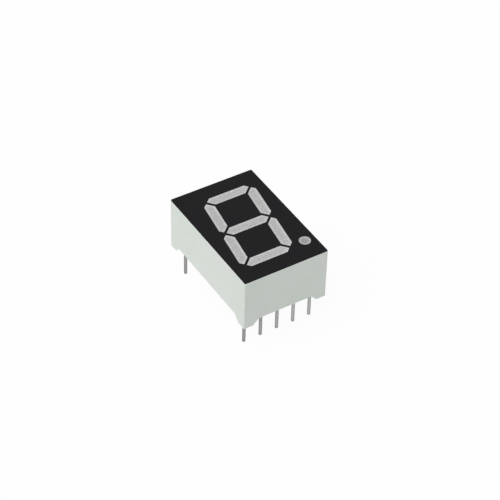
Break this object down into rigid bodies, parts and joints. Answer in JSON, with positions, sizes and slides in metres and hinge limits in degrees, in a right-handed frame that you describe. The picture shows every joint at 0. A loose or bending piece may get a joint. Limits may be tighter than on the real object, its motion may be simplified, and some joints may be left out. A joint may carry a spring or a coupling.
{
  "type": "seven segment display",
  "caption": "Small rectangular LED digit display with a black face, slanted grey bars, a decimal point and rows of round pins for a circuit board.",
  "frame": {"origin": "centre of the pin grid, on the seating plane that the four feet touch", "axes": "+X towards the digit's right along a row of pins, +Y towards the digit's top, +Z out of the face"},
  "size_m": [0.0126, 0.019, 0.0124],
  "materials": {
    "white_plastic": "fine satin moulded plastic, off-white",
    "black_ink": "matte printed layer, black",
    "diffused_resin": "cast epoxy with a fine diffusing powder, grey",
    "board_laminate": "glass-fibre laminate, green",
    "copper": "etched copper foil",
    "led_crystal": "polished crystal, dark red",
    "gold": "drawn gold wire",
    "tinned_pin": "tin plate with fine drawing lines",
    "solder": "satin solder",
    "back_resin": "cast epoxy, milky"
  },
  "bodies": {
    "root": {"housing": "white_plastic", "face_layer": "black_ink", "segment_a": "diffused_resin", "segment_b": "diffused_resin", "segment_c": "diffused_resin", "segment_d": "diffused_resin", "segment_e": "diffused_resin", "segment_f": "diffused_resin", "segment_g": "diffused_resin", "decimal_point": "diffused_resin", "circuit_board": "board_laminate", "copper_tracks": "copper", "led_chip_a": "led_crystal", "led_chip_b": "led_crystal", "led_chip_c": "led_crystal", "led_chip_d": "led_crystal", "led_chip_e": "led_crystal", "led_chip_f": "led_crystal", "led_chip_g": "led_crystal", "led_chip_dp": "led_crystal", "bond_wire_a": "gold", "bond_wire_b": "gold", "bond_wire_c": "gold", "bond_wire_d": "gold", "bond_wire_e": "gold", "bond_wire_f": "gold", "bond_wire_g": "gold", "bond_wire_dp": "gold", "pin_1": "tinned_pin", "pin_2": "tinned_pin", "pin_3": "tinned_pin", "pin_4": "tinned_pin", "pin_5": "tinned_pin", "pin_6": "tinned_pin", "pin_7": "tinned_pin", "pin_8": "tinned_pin", "pin_9": "tinned_pin", "pin_10": "tinned_pin", "solder_joint_1": "solder", "solder_joint_2": "solder", "solder_joint_3": "solder", "solder_joint_4": "solder", "solder_joint_5": "solder", "solder_joint_6": "solder", "solder_joint_7": "solder", "solder_joint_8": "solder", "solder_joint_9": "solder", "solder_joint_10": "solder", "back_resin": "back_resin"}
  },
  "joints": []
}
